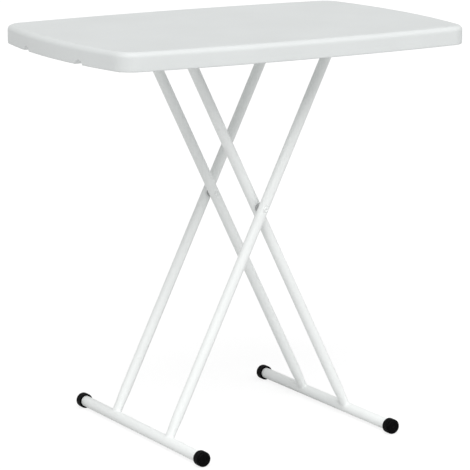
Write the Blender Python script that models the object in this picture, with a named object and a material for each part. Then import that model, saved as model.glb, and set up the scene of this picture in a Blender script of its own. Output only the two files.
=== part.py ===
"""Folding table with a moulded plastic top on two crossed steel leg frames.

The frame is in metres, +Z up. The origin is on the floor under the middle of the top, +X runs
along the top's long side towards the leg pivot, and +Y points to the back.

The outer frame turns on a bar held in two saddles under the right of the top. The inner frame is
riveted to it where the legs cross, and its top bar slides in two slotted racks whose seats give
the table its heights. The table stands here at its tallest setting.
"""

import math

import bmesh
import bpy
from mathutils import Matrix, Vector

# Top
TOP_LENGTH = 0.760
TOP_WIDTH = 0.500
TABLE_HEIGHT = 0.750
SKIRT_DEPTH = 0.034
DECK_THICKNESS = 0.015
END_BOW = 0.030
SIDE_BOW = 0.022
CORNER_RADIUS = 0.040
TOP_EDGE_RADIUS = 0.0095
RIM_EDGE_RADIUS = 0.0018
RIM_WIDTH = 0.014
RECESS_DRAFT = 0.003

# Dimples that tie the two walls of the top together
DIMPLE_RADIUS = 0.011
DIMPLE_FLOOR_RADIUS = 0.006
DIMPLE_DEPTH = 0.009
DIMPLE_PITCH = 0.075
DIMPLE_EDGE_MARGIN = 0.030

# Tubes
LEG_RADIUS = 0.0098
TUBE_WALL = 0.0012
FOOT_RADIUS = 0.0102
FOOT_SPAN = 0.469
INNER_LEG_Y = 0.0745
CROSSING_GAP = 0.0064
LEG_ANGLE = math.radians(63.7)
RIVET_HEIGHT = 0.4233
LEAST_LEG_ANGLE = math.radians(40.0)

# Foot caps
CAP_WALL = 0.0035
CAP_LENGTH = 0.018
CAP_END_WALL = 0.003
CAP_NOSE_RADIUS = 0.0065
CAP_LIP_RADIUS = 0.0012

# Rivets at the crossings
RIVET_RADIUS = 0.0030
RIVET_HEAD_RADIUS = 0.0046
RIVET_HEAD_RISE = 0.0020
SPACER_RADIUS = 0.0085

# Sheet steel racks and saddles under the top
SHEET = 0.0018
RACK_FLANGE = 0.026
RACK_EDGE = 0.0040
RACK_SEAT_EDGE = 0.0025
RACK_END_EDGE = 0.0070
RACK_CORNER_RADIUS = 0.008
SEAT_DEPTH = 0.0030
SEAT_COUNT = 4
SADDLE_WIDTH = 0.018
SADDLE_FLANGE = 0.015
SLEEVE_WALL = 0.0010
GLIDE_LENGTH = 0.014
BAR_OVERHANG = 0.010

# Screws and plugs
SCREW_RADIUS = 0.0019
SCREW_LENGTH = 0.0105
SCREW_HEAD_RADIUS = 0.0042
SCREW_HEAD_RISE = 0.0022
RACK_SCREWS = 3
PLUG_HEAD = 0.0020
PLUG_STEM = 0.010

# Clearances
FIT_GAP = 0.0003
RUN_GAP = 0.0002
RIVET_GAP = 0.0001
SLIDE_GAP = 0.0004
RACK_LEG_CLEARANCE = 0.012
SADDLE_LEG_CLEARANCE = 0.0107
RACK_SKIRT_CLEARANCE = 0.034
CLOSED_BAR_CLEARANCE = 0.026
NOTCH_CLEARANCE = 0.0022
NOTCH_DEPTH = 0.008

TUBE_SIDES = 24
SMALL_SIDES = 16
EDGE_STEPS = 4
SIDE_ARC_STEPS = 12
END_ARC_STEPS = 8
CORNER_STEPS = 6
SEAT_STEPS = 8
NOSE_STEPS = 5

# Places that follow from the sizes above
UNDERSIDE_Z = TABLE_HEIGHT - DECK_THICKNESS
RIM_Z = TABLE_HEIGHT - SKIRT_DEPTH
CAP_RADIUS = FOOT_RADIUS + FIT_GAP + CAP_WALL
SLEEVE_RADIUS = LEG_RADIUS + RUN_GAP + SLEEVE_WALL
FLANGE_Z = UNDERSIDE_Z - FIT_GAP - SHEET
BAR_Z = FLANGE_Z - RACK_SEAT_EDGE - SEAT_DEPTH - SLIDE_GAP - SLEEVE_RADIUS
BAR_X = (BAR_Z - RIVET_HEIGHT) / math.tan(LEG_ANGLE)
FOOT_X = (RIVET_HEIGHT - CAP_RADIUS) / math.tan(LEG_ANGLE)
ARM = (BAR_Z - RIVET_HEIGHT) / math.sin(LEG_ANGLE)
OUTER_LEG_Y = INNER_LEG_Y + 2 * LEG_RADIUS + CROSSING_GAP
FOOT_TUBE_END = FOOT_SPAN / 2 - CAP_END_WALL - FIT_GAP
SADDLE_Y = INNER_LEG_Y - LEG_RADIUS - SADDLE_LEG_CLEARANCE - SADDLE_WIDTH / 2
RACK_Y = OUTER_LEG_Y + LEG_RADIUS + RACK_LEG_CLEARANCE
BAR_END = RACK_Y + SHEET + BAR_OVERHANG
SLOT_HALF = SLEEVE_RADIUS + SLIDE_GAP
CLOSED_BAR_X = BAR_X - 2 * LEG_RADIUS - CLOSED_BAR_CLEARANCE

WHITE_PLASTIC = (0.74, 0.76, 0.755, 1.0)
WHITE_PAINT = (0.76, 0.78, 0.775, 1.0)
BLACK_PLASTIC = (0.012, 0.012, 0.013, 1.0)
ZINC = (0.60, 0.61, 0.62, 1.0)
NYLON = (0.05, 0.05, 0.055, 1.0)


def clear_scene():
    for thing in list(bpy.data.objects):
        bpy.data.objects.remove(thing, do_unlink=True)


def material(name, colour, roughness, metallic=0.0):
    """A Principled material; each piece has its own copy under the piece's name."""
    made = bpy.data.materials.new(name)
    made.use_nodes = True
    shader = made.node_tree.nodes["Principled BSDF"]
    shader.inputs["Base Color"].default_value = colour
    shader.inputs["Roughness"].default_value = roughness
    shader.inputs["Metallic"].default_value = metallic
    return made


def plastic(name):
    return material(name, WHITE_PLASTIC, 0.48)


def paint(name):
    return material(name, WHITE_PAINT, 0.35)


def black(name):
    return material(name, BLACK_PLASTIC, 0.38)


def zinc(name):
    return material(name, ZINC, 0.34, 1.0)


def nylon(name):
    return material(name, NYLON, 0.5)


def empty(name, location, parent=None):
    made = bpy.data.objects.new(name, None)
    bpy.context.scene.collection.objects.link(made)
    made.parent = parent
    made.location = Vector(location) - (world_place(parent) if parent else Vector())
    return made


def world_place(thing):
    """Where an unturned empty stands, with its parents."""
    place = Vector()
    while thing is not None:
        place += thing.location
        thing = thing.parent
    return place


def add(name, shape, finish, parent, place=(0, 0, 0), turn=None, smooth=40.0):
    """Makes a piece from a bmesh, at a world place, under a parent empty."""
    bmesh.ops.recalc_face_normals(shape, faces=shape.faces)
    mesh = bpy.data.meshes.new(name)
    shape.to_mesh(mesh)
    shape.free()
    mesh.shade_smooth()
    mesh.set_sharp_from_angle(angle=math.radians(smooth))
    return add_mesh(name, mesh, finish, parent, place, turn)


def add_mesh(name, mesh, finish, parent, place, turn=None):
    piece = bpy.data.objects.new(name, mesh)
    bpy.context.scene.collection.objects.link(piece)
    if not mesh.materials:
        mesh.materials.append(finish(name))
    piece.parent = parent
    piece.location = Vector(place) - world_place(parent)
    if turn is not None:
        piece.rotation_euler = turn.to_euler()
    return piece


def copy_of(piece, name, place, turn=None):
    """A second piece with the first one's mesh and cuts, at its own place."""
    made = add_mesh(name, piece.data, None, piece.parent, place, turn)
    if turn is None:
        made.rotation_euler = piece.rotation_euler
    return made


def cut(piece, cutter, operation="DIFFERENCE", solver="EXACT"):
    """Takes a hidden cutter, given in world coordinates, out of a piece, or adds it on."""
    cutter.hide_render = True
    cutter.display_type = "WIRE"
    change = piece.modifiers.new(cutter.name, "BOOLEAN")
    change.operation = operation
    change.object = cutter
    change.solver = solver
    return piece


def helper(name, shape, place=(0, 0, 0), turn=None):
    bmesh.ops.recalc_face_normals(shape, faces=shape.faces)
    mesh = bpy.data.meshes.new(name)
    shape.to_mesh(mesh)
    shape.free()
    made = bpy.data.objects.new(name, mesh)
    bpy.context.scene.collection.objects.link(made)
    made.location = place
    if turn is not None:
        made.rotation_euler = turn.to_euler()
    return made


def ring(radius, z, sides, start=0.0):
    """Points of a regular polygon in a plane across Z."""
    steps = [start + 2 * math.pi * i / sides for i in range(sides)]
    return [Vector((radius * math.cos(a), radius * math.sin(a), z)) for a in steps]


def loft(rings, closed=False):
    """A closed skin through rings of points: capped at both ends, or joined end to end."""
    shape = bmesh.new()
    rows = [[shape.verts.new(p) for p in row] for row in rings]
    pairs = list(zip(rows, rows[1:] + rows[:1])) if closed else list(zip(rows, rows[1:]))
    for low, high in pairs:
        count = len(low)
        for i in range(count):
            j = (i + 1) % count
            shape.faces.new((low[i], low[j], high[j], high[i]))
    if not closed:
        shape.faces.new(list(reversed(rows[0])))
        shape.faces.new(rows[-1])
    return shape


def rod(radius, length, sides=TUBE_SIDES):
    """A solid cylinder along Z, centred, with a corner on -Y and +Y."""
    start = -math.pi / 2
    return loft([ring(radius, z, sides, start) for z in (-length / 2, length / 2)])


def pipe(radius, bore, length, sides=TUBE_SIDES):
    """A tube along Z, centred, with square ends."""
    start = -math.pi / 2
    half = length / 2
    corners = ((radius, -half), (radius, half), (bore, half), (bore, -half))
    return loft([ring(r, z, sides, start) for r, z in corners], closed=True)


def turned(profile, sides=TUBE_SIDES):
    """A solid turned about Z from (radius, height) points; the first and last lie on the axis."""
    shape = bmesh.new()
    points = [shape.verts.new((0, -r, z)) for r, z in profile]
    edges = [shape.edges.new(pair) for pair in zip(points, points[1:])]
    bmesh.ops.spin(
        shape, geom=points + edges, cent=(0, 0, 0), axis=(0, 0, 1), dvec=(0, 0, 0),
        angle=2 * math.pi, steps=sides, use_merge=True,
    )
    bmesh.ops.remove_doubles(shape, verts=shape.verts, dist=1e-6)
    return shape


def arc(centre, radius, start, end, steps):
    """Points of an arc, both ends included, angles in radians."""
    turns = [start + (end - start) * i / steps for i in range(steps + 1)]
    return [(centre[0] + radius * math.cos(a), centre[1] + radius * math.sin(a)) for a in turns]


def prism(outline, depth):
    """A flat outline of (x, z) points, carried along Y over a depth, centred."""
    shape = bmesh.new()
    near = [shape.verts.new((x, -depth / 2, z)) for x, z in outline]
    far = [shape.verts.new((x, depth / 2, z)) for x, z in outline]
    count = len(outline)
    shape.faces.new(near)
    shape.faces.new(list(reversed(far)))
    for i in range(count):
        j = (i + 1) % count
        shape.faces.new((near[j], near[i], far[i], far[j]))
    return shape


def across():
    """The turn that lays a piece made along Z onto the Y axis, its +Z end to the front."""
    return Matrix.Rotation(math.pi / 2, 3, "X")


def aligned(direction):
    """The turn that lays a piece made along Z onto a direction in the XZ plane."""
    return Matrix.Rotation(math.atan2(direction.x, direction.z), 3, "Y")


def bow_radius(half_chord, bow):
    return (half_chord**2 + bow**2) / (2 * bow)


def corner_centres():
    """Centres of the corner round in the +X +Y quarter and of the two bows that it meets."""
    half_length = TOP_LENGTH / 2
    half_width = TOP_WIDTH / 2
    side = bow_radius(half_length, SIDE_BOW)
    end = bow_radius(half_width, END_BOW)
    side_centre = Vector((0, half_width - side))
    end_centre = Vector((half_length - end, 0))
    reach_side = side - CORNER_RADIUS
    reach_end = end - CORNER_RADIUS
    apart = end_centre - side_centre
    distance = apart.length
    along = (reach_side**2 - reach_end**2 + distance**2) / (2 * distance)
    beside = math.sqrt(reach_side**2 - along**2)
    unit = apart / distance
    normal = Vector((unit.y, -unit.x))
    return side_centre + unit * along + normal * beside, side_centre, end_centre


def top_outline(inset):
    """The top's outline, moved inwards by an inset: bowed sides and ends with round corners."""
    corner, side_centre, end_centre = corner_centres()
    side = bow_radius(TOP_LENGTH / 2, SIDE_BOW) - inset
    end = bow_radius(TOP_WIDTH / 2, END_BOW) - inset
    to_end = corner - end_centre
    to_side = corner - side_centre
    end_angle = math.atan2(to_end.y, to_end.x)
    side_angle = math.atan2(to_side.y, to_side.x)
    quarter = arc(end_centre, end, 0.0, end_angle, END_ARC_STEPS)[:-1]
    quarter += arc(corner, CORNER_RADIUS - inset, end_angle, side_angle, CORNER_STEPS)[:-1]
    quarter += arc(side_centre, side, side_angle, math.pi / 2, SIDE_ARC_STEPS)
    upper = quarter + [(-x, y) for x, y in reversed(quarter[:-1])]
    return upper + [(x, -y) for x, y in reversed(upper[1:-1])]


def end_edge_x(y):
    """How far the top's end reaches along X at a distance from the middle."""
    end = bow_radius(TOP_WIDTH / 2, END_BOW)
    return TOP_LENGTH / 2 - end + math.sqrt(end**2 - y**2)


def top_section():
    """(inset, height) pairs from the middle of the top face, over the edge, to the recess."""
    section = []
    for i in range(EDGE_STEPS + 1):
        turn = math.pi / 2 * i / EDGE_STEPS
        section.append((
            TOP_EDGE_RADIUS * (1 - math.sin(turn)),
            TABLE_HEIGHT - TOP_EDGE_RADIUS * (1 - math.cos(turn)),
        ))
    section.append((0.0, RIM_Z + RIM_EDGE_RADIUS))
    section.append((RIM_EDGE_RADIUS * 0.3, RIM_Z + RIM_EDGE_RADIUS * 0.3))
    section.append((RIM_EDGE_RADIUS, RIM_Z))
    section.append((RIM_WIDTH, RIM_Z))
    section.append((RIM_WIDTH + RECESS_DRAFT, UNDERSIDE_Z))
    return section


def lowest_setting():
    """Leg angle and bar place at the lowest seat: the rack's end or the flattest safe legs."""
    skirt = end_edge_x(RACK_Y + RACK_FLANGE) - RIM_WIDTH - RECESS_DRAFT
    bar_x = -(skirt - RACK_SKIRT_CLEARANCE - RACK_END_EDGE - SLOT_HALF)
    angle = math.acos(min((BAR_X - bar_x) / (2 * ARM), math.cos(LEAST_LEG_ANGLE)))
    return angle, BAR_X - 2 * ARM * math.cos(angle)


def bar_place(height_share):
    """Where the sliding bar lies when the top is that share of the way down to its lowest."""
    low_angle, _ = lowest_setting()
    reach = math.sin(LEG_ANGLE) + (math.sin(low_angle) - math.sin(LEG_ANGLE)) * height_share
    return BAR_X - 2 * ARM * math.cos(math.asin(reach))


def dimple_places():
    """Grid of dimples on the underside, clear of the racks, saddles and the skirt."""
    half = TOP_LENGTH / 2 - RIM_WIDTH - RECESS_DRAFT - DIMPLE_EDGE_MARGIN - END_BOW / 2
    count = int(half / DIMPLE_PITCH)
    outside = RACK_Y + RACK_FLANGE
    inside = TOP_WIDTH / 2 - SIDE_BOW - RIM_WIDTH - RECESS_DRAFT
    row = (outside + inside) / 2
    rows = (-row, 0.0, row)
    return [(i * DIMPLE_PITCH, y) for i in range(-count, count + 1) for y in rows]


def rack_screw_places():
    left, right = rack_ends()
    step = (right - left) / RACK_SCREWS
    y = RACK_Y + SHEET + (RACK_FLANGE - SHEET) / 2
    return [(left + step * (i + 0.5), y) for i in range(RACK_SCREWS)]


def saddle_screw_places():
    offset = SLEEVE_RADIUS + FIT_GAP + SHEET + SADDLE_FLANGE / 2
    return [(BAR_X - offset, SADDLE_Y), (BAR_X + offset, SADDLE_Y)]


def rack_ends():
    """X of the rack's two ends, from the slot's two ends."""
    _, low_x = lowest_setting()
    return low_x - SLOT_HALF - RACK_END_EDGE, CLOSED_BAR_X + SLOT_HALF + RACK_END_EDGE


def make_tabletop(root):
    rings = [[Vector((x, y, z)) for x, y in top_outline(inset)] for inset, z in top_section()]
    top = add("tabletop", loft(rings), plastic, root)
    cut(top, helper("cut_dimples", dimple_cutter()))
    cut(top, helper("cut_pilot_holes", pilot_cutter()))
    cut(top, helper("cut_notches", notch_cutter()))
    return top


def joined(shapes):
    """Several closed shapes that don't touch, in one bmesh."""
    whole = bmesh.new()
    for shape in shapes:
        mesh = bpy.data.meshes.new("joined")
        shape.to_mesh(mesh)
        shape.free()
        whole.from_mesh(mesh)
        bpy.data.meshes.remove(mesh)
    return whole


def moved(shape, place, turn=None):
    if turn is not None:
        bmesh.ops.rotate(shape, verts=shape.verts, cent=(0, 0, 0), matrix=turn)
    bmesh.ops.translate(shape, verts=shape.verts, vec=place)
    return shape


def dimple_cutter():
    """Tapered plugs that stand across the underside and narrow upwards."""
    slope = (DIMPLE_RADIUS - DIMPLE_FLOOR_RADIUS) / DIMPLE_DEPTH
    below = 0.002
    shapes = []
    for x, y in dimple_places():
        rings = (
            ring(DIMPLE_RADIUS + slope * below, UNDERSIDE_Z - below, SMALL_SIDES),
            ring(DIMPLE_FLOOR_RADIUS, UNDERSIDE_Z + DIMPLE_DEPTH, SMALL_SIDES),
        )
        shapes.append(moved(loft(rings), (x, y, 0)))
    return joined(shapes)


def pilot_cutter():
    depth = SCREW_LENGTH - SHEET + FIT_GAP * 2
    places = rack_screw_places() + saddle_screw_places()
    shapes = []
    for x, y in places:
        for side in (-1, 1):
            hole = rod(SCREW_RADIUS + FIT_GAP, depth * 2, SMALL_SIDES)
            shapes.append(moved(hole, (x, side * y, UNDERSIDE_Z)))
    return joined(shapes)


def notch_cutter():
    """Two low arches through the left skirt, where the outer legs lie when the table is flat."""
    half_width = LEG_RADIUS + NOTCH_CLEARANCE
    radius = bow_radius(half_width, NOTCH_DEPTH)
    along_x = Matrix.Rotation(math.pi / 2, 3, "Y")
    shapes = []
    for side in (-1, 1):
        place = (-TOP_LENGTH / 2, side * OUTER_LEG_Y, RIM_Z + NOTCH_DEPTH - radius)
        shapes.append(moved(rod(radius, RIM_WIDTH * 4, TUBE_SIDES * 2), place, along_x))
    return joined(shapes)


def rounded_plate(left, right, low, high, radius):
    """(x, z) outline of a plate whose two lower corners are round."""
    outline = [(right, high), (left, high)]
    outline += arc((left + radius, low + radius), radius, math.pi, 1.5 * math.pi, CORNER_STEPS)
    outline += arc((right - radius, low + radius), radius, 1.5 * math.pi, 2 * math.pi, CORNER_STEPS)
    return outline


def make_racks(root):
    """Angle-section racks: a flange screwed to the top and a web with the seated slot.

    The exact solver leaves open edges here at some tube sizes, so the racks use the other one.
    """
    left, right = rack_ends()
    low = BAR_Z - SLOT_HALF - RACK_EDGE
    high = FLANGE_Z + SHEET
    for side, end in ((1, "back"), (-1, "front")):
        web = prism(rounded_plate(left, right, low, high, RACK_CORNER_RADIUS), SHEET)
        rack = add(f"height_rack_{end}", web, zinc, root, (0, side * (RACK_Y + SHEET / 2), 0))
        corners = ((left, FLANGE_Z), (right, FLANGE_Z), (right, high), (left, high))
        flange = prism(corners, RACK_FLANGE - SHEET / 2)
        flange_y = side * (RACK_Y + (RACK_FLANGE + SHEET / 2) / 2)
        cut(rack, helper(f"add_flange_{end}", flange, (0, flange_y, 0)), "UNION", "MANIFOLD")
        cut(rack, helper(f"cut_slot_{end}", slot_cutter(side)), solver="MANIFOLD")
        holes = [
            moved(rod(SCREW_RADIUS + FIT_GAP, SHEET * 4, SMALL_SIDES), (x, side * y, FLANGE_Z))
            for x, y in rack_screw_places()
        ]
        cut(rack, helper(f"cut_rack_holes_{end}", joined(holes)), solver="MANIFOLD")


def slot_outline():
    """The rack's slot: a straight lower edge, and a seat for each height along the upper one."""
    half = math.acos((SLOT_HALF - SEAT_DEPTH) / SLOT_HALF)
    lowest = bar_place(1.0)
    outline = arc((lowest, BAR_Z), SLOT_HALF, 1.5 * math.pi, math.pi, SEAT_STEPS)
    for seat in reversed(range(SEAT_COUNT)):
        x = bar_place(seat / (SEAT_COUNT - 1))
        start = math.pi if x == lowest else math.pi / 2 + half
        outline += arc((x, BAR_Z + SEAT_DEPTH), SLOT_HALF, start, math.pi / 2 - half, SEAT_STEPS)
    outline += arc((CLOSED_BAR_X, BAR_Z), SLOT_HALF, math.pi / 2, -math.pi / 2, SMALL_SIDES)
    return outline


def slot_cutter(side):
    return moved(prism(slot_outline(), SHEET * 4), (0, side * (RACK_Y + SHEET / 2), 0))


def saddle_outline():
    """Strap under the pivot bar: two flanges, two walls and a round bottom, in (x, z)."""
    inner = SLEEVE_RADIUS + FIT_GAP
    outer = inner + SHEET
    reach = outer + SADDLE_FLANGE
    top = FLANGE_Z + SHEET
    outline = [(-reach, top), (-reach, FLANGE_Z), (-outer, FLANGE_Z)]
    outline += arc((0, BAR_Z), outer, math.pi, 2 * math.pi, SMALL_SIDES)
    outline += [(outer, FLANGE_Z), (reach, FLANGE_Z), (reach, top), (inner, top)]
    outline += arc((0, BAR_Z), inner, 2 * math.pi, math.pi, SMALL_SIDES)
    outline += [(-inner, top)]
    return outline


def make_saddles(root):
    for side, end in ((1, "back"), (-1, "front")):
        strap = prism(saddle_outline(), SADDLE_WIDTH)
        saddle = add(f"pivot_saddle_{end}", strap, zinc, root, (BAR_X, side * SADDLE_Y, 0))
        holes = [
            moved(rod(SCREW_RADIUS + FIT_GAP, SHEET * 4, SMALL_SIDES), (x, side * y, FLANGE_Z))
            for x, y in saddle_screw_places()
        ]
        cut(saddle, helper(f"cut_saddle_holes_{end}", joined(holes)))
        bush = pipe(SLEEVE_RADIUS, LEG_RADIUS + RUN_GAP, SADDLE_WIDTH)
        add(f"pivot_bush_{end}", bush, nylon, root, (BAR_X, side * SADDLE_Y, BAR_Z), across())


def make_screws(root):
    """Pan-head screws up through the flanges into the top."""
    profile = [(0, SCREW_LENGTH), (SCREW_RADIUS * 0.4, SCREW_LENGTH)]
    profile += [(SCREW_RADIUS, SCREW_LENGTH - SCREW_RADIUS * 1.4), (SCREW_RADIUS, 0)]
    profile += [(SCREW_HEAD_RADIUS, 0), (SCREW_HEAD_RADIUS * 0.97, -SCREW_HEAD_RISE * 0.45)]
    profile += [(SCREW_HEAD_RADIUS * 0.7, -SCREW_HEAD_RISE * 0.88), (0, -SCREW_HEAD_RISE)]
    first = None
    groups = (("rack", rack_screw_places()), ("saddle", saddle_screw_places()))
    for group, places in groups:
        for i, (x, y) in enumerate(places):
            for side, end in ((1, "back"), (-1, "front")):
                name = f"{group}_screw_{end}_{i + 1}"
                place = (x, side * y, FLANGE_Z - FIT_GAP)
                if first is None:
                    first = add(name, turned(profile, SMALL_SIDES), zinc, root, place)
                else:
                    copy_of(first, name, place)


def cylinder_cutter(name, radius, length, place):
    return helper(name, rod(radius, length, TUBE_SIDES * 2), place, across())


def make_frame(kind, parent, leg_y, foot_x, bar_x, bar_half):
    """One leg frame: a bar on top, two legs coped to it and to the foot tube, and two foot caps."""
    foot = Vector((foot_x, 0, CAP_RADIUS))
    bar = Vector((bar_x, 0, BAR_Z))
    middle = (foot + bar) / 2
    along = bar - foot
    cut_length = (leg_y + LEG_RADIUS) * 4
    bar_cut = cylinder_cutter(f"cut_at_bar_{kind}", LEG_RADIUS + FIT_GAP, cut_length, bar)
    foot_cut = cylinder_cutter(f"cut_at_foot_{kind}", FOOT_RADIUS + FIT_GAP, cut_length, foot)
    crossing = (0, 0, RIVET_HEIGHT)
    rivet_hole = rod(RIVET_RADIUS + RIVET_GAP, cut_length, SMALL_SIDES)
    rivet_cut = helper(f"cut_for_rivets_{kind}", rivet_hole, crossing, across())
    for side, end in ((1, "back"), (-1, "front")):
        leg = add(
            f"{kind}_leg_{end}", pipe(LEG_RADIUS, LEG_RADIUS - TUBE_WALL, along.length), paint, parent,
            middle + Vector((0, side * leg_y, 0)), aligned(along),
        )
        for cutter in (bar_cut, foot_cut, rivet_cut):
            cut(leg, cutter)
    tube = pipe(LEG_RADIUS, LEG_RADIUS - TUBE_WALL, 2 * bar_half)
    add(f"{kind}_top_bar", tube, paint, parent, bar, across())
    tube = pipe(FOOT_RADIUS, FOOT_RADIUS - TUBE_WALL, 2 * FOOT_TUBE_END)
    add(f"{kind}_foot_tube", tube, paint, parent, foot, across())
    make_plugs(kind, parent, bar, bar_half)
    make_caps(kind, parent, foot)


def make_plugs(kind, parent, bar, bar_half):
    """Push-in plugs that close the two ends of a top bar."""
    stem = LEG_RADIUS - TUBE_WALL - FIT_GAP
    profile = [(0, -PLUG_STEM), (stem * 0.85, -PLUG_STEM), (stem, -PLUG_STEM * 0.7)]
    profile += [(stem, FIT_GAP)]
    profile += [(LEG_RADIUS, FIT_GAP), (LEG_RADIUS, FIT_GAP + PLUG_HEAD * 0.5)]
    profile += [(LEG_RADIUS * 0.86, FIT_GAP + PLUG_HEAD), (0, FIT_GAP + PLUG_HEAD)]
    reach = Vector((0, bar_half, 0))
    front = add(f"{kind}_bar_plug_front", turned(profile), black, parent, bar - reach, across())
    copy_of(front, f"{kind}_bar_plug_back", bar + reach, back_turn())


def back_turn():
    return Matrix.Rotation(-math.pi / 2, 3, "X")


def cap_profile():
    """A cup over the foot tube's end: square lip, straight rim and a round nose."""
    bore = FOOT_RADIUS + FIT_GAP
    lip = CAP_END_WALL - CAP_LENGTH
    nose_centre = (CAP_RADIUS - CAP_NOSE_RADIUS, CAP_END_WALL - CAP_NOSE_RADIUS)
    nose = arc(nose_centre, CAP_NOSE_RADIUS, 0, math.pi / 2, NOSE_STEPS)
    profile = [(0, 0), (bore, 0), (bore, lip), (CAP_RADIUS - CAP_LIP_RADIUS, lip)]
    return profile + [(CAP_RADIUS, lip + CAP_LIP_RADIUS)] + nose + [(0, CAP_END_WALL)]


def make_caps(kind, parent, foot):
    reach = Vector((0, FOOT_TUBE_END + FIT_GAP, 0))
    front = add(f"{kind}_foot_cap_front", turned(cap_profile()), black, parent, foot - reach, across())
    copy_of(front, f"{kind}_foot_cap_back", foot + reach, back_turn())


def make_glides(parent):
    """Nylon sleeves where the sliding bar passes through the racks."""
    tube = pipe(SLEEVE_RADIUS, LEG_RADIUS + RUN_GAP, GLIDE_LENGTH)
    place = Vector((-BAR_X, RACK_Y + SHEET / 2, BAR_Z))
    back = add("bar_glide_back", tube, nylon, parent, place, across())
    copy_of(back, "bar_glide_front", Vector((place.x, -place.y, place.z)))


def make_rivets(parent):
    """A headed rivet through each crossed pair of legs, with a spacer between the two tubes."""
    head = LEG_RADIUS + FIT_GAP
    inner_end = INNER_LEG_Y - head
    outer_end = OUTER_LEG_Y + head
    half = (outer_end - inner_end) / 2
    middle = (outer_end + inner_end) / 2
    dome = [
        (RIVET_HEAD_RADIUS, 0), (RIVET_HEAD_RADIUS * 0.92, RIVET_HEAD_RISE * 0.55),
        (RIVET_HEAD_RADIUS * 0.6, RIVET_HEAD_RISE * 0.9), (0, RIVET_HEAD_RISE),
    ]
    upper = [(RIVET_RADIUS, half)] + [(r, half + z) for r, z in dome]
    lower = [(r, -half - z) for r, z in reversed(dome)] + [(RIVET_RADIUS, -half)]
    place = (0, middle, RIVET_HEIGHT)
    back = add("rivet_back", turned(lower + upper, SMALL_SIDES), paint, parent, place, across())
    copy_of(back, "rivet_front", (0, -middle, RIVET_HEIGHT))
    length = CROSSING_GAP - 2 * FIT_GAP
    spacer_y = (INNER_LEG_Y + OUTER_LEG_Y) / 2
    place = (0, spacer_y, RIVET_HEIGHT)
    ring_shape = pipe(SPACER_RADIUS, RIVET_RADIUS + RIVET_GAP, length, SMALL_SIDES)
    spacer = add("rivet_spacer_back", ring_shape, nylon, parent, place, across())
    copy_of(spacer, "rivet_spacer_front", (0, -spacer_y, RIVET_HEIGHT))


def main():
    clear_scene()
    root = empty("table_root", (0, 0, 0))
    outer = empty("outer_frame_pivot", (BAR_X, 0, BAR_Z), root)
    inner = empty("inner_frame_pivot", (0, 0, RIVET_HEIGHT), outer)
    make_tabletop(root)
    make_racks(root)
    make_saddles(root)
    make_screws(root)
    make_frame("outer", outer, OUTER_LEG_Y, -FOOT_X, BAR_X, OUTER_LEG_Y + LEG_RADIUS)
    make_frame("inner", inner, INNER_LEG_Y, FOOT_X, -BAR_X, BAR_END)
    make_rivets(outer)
    make_glides(inner)


main()
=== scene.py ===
"""Looks of a folding table: a moulded plastic top on two crossed leg frames of painted steel tube.

Lengths are in metres in the table's own frame: +Z up, the floor at z = 0, +X along the top's long
side towards the leg pivot, +Y to the back. Each new piece is a surface worked out with numpy, and
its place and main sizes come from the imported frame.
"""

import math

import bmesh
import bpy
import numpy as np
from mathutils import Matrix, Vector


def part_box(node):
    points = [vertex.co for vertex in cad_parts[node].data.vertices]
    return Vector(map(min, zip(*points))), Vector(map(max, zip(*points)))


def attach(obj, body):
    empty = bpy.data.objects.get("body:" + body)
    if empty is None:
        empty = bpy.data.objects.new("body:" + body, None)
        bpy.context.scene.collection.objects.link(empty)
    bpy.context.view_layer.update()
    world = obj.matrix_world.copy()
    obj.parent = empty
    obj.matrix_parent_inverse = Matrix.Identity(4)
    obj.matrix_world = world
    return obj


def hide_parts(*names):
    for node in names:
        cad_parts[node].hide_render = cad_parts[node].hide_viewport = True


bl_info = {
    "name": "Folding Table Looks",
    "version": (1, 0, 0),
    "blender": (4, 5, 0),
    "location": "3D View > Sidebar > Folding Table",
    "description": "Fine surfaces and finishes for a folding table",
    "category": "Object",
}

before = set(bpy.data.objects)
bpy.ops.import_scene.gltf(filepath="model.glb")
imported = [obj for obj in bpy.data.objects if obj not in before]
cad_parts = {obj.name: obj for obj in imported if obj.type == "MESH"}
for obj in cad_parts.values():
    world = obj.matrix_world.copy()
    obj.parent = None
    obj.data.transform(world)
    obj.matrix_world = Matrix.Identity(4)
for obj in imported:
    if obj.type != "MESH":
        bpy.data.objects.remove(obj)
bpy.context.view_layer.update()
ENDS = (("back", 1), ("front", -1))


def centre_of(node):
    low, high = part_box(node)
    return np.array((low + high) / 2)


def size_of(node):
    low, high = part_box(node)
    return np.array(high - low)


TOP_SIZE = size_of("tabletop")
TOP_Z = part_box("tabletop")[1].z
RIM_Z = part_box("tabletop")[0].z
TUBE_RADIUS = size_of("inner_top_bar")[2] / 2
FOOT_TUBE_RADIUS = size_of("inner_foot_tube")[2] / 2
CAP_RADIUS = size_of("inner_foot_cap_front")[2] / 2
CAP_LENGTH = size_of("inner_foot_cap_front")[1]
PLUG_LENGTH = size_of("inner_bar_plug_front")[1]
CROSSING = np.array((0.0, 0.0, centre_of("rivet_back")[2]))
LEG_Y = {kind: centre_of(f"{kind}_leg_back")[1] for kind in ("outer", "inner")}
# The racks' and saddles' sheet, the gaps in fixed joints, round the bars and in the slots.
SHEET = 0.0018
JOINT_GAP = 0.0003
RUNNING_GAP = 0.0002
SLIDE_GAP = 0.0004
RIVET_SHANK = 0.003
UNDERSIDE_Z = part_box("height_rack_back")[1].z + JOINT_GAP
QUARTER = math.pi / 2
SHARP_ANGLE = math.radians(50)
WHITE = (1.0, 1.0, 1.0, 1.0)


def length_value(name, description, default):
    return bpy.props.FloatProperty(
        name=name, description=description, default=default, min=0.0, unit="LENGTH", precision=5
    )


def number_value(name, description, default):
    return bpy.props.FloatProperty(name=name, description=description, default=default, min=0.0)


def count_value(name, description, default):
    return bpy.props.IntProperty(name=name, description=description, default=default, min=1)


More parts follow.
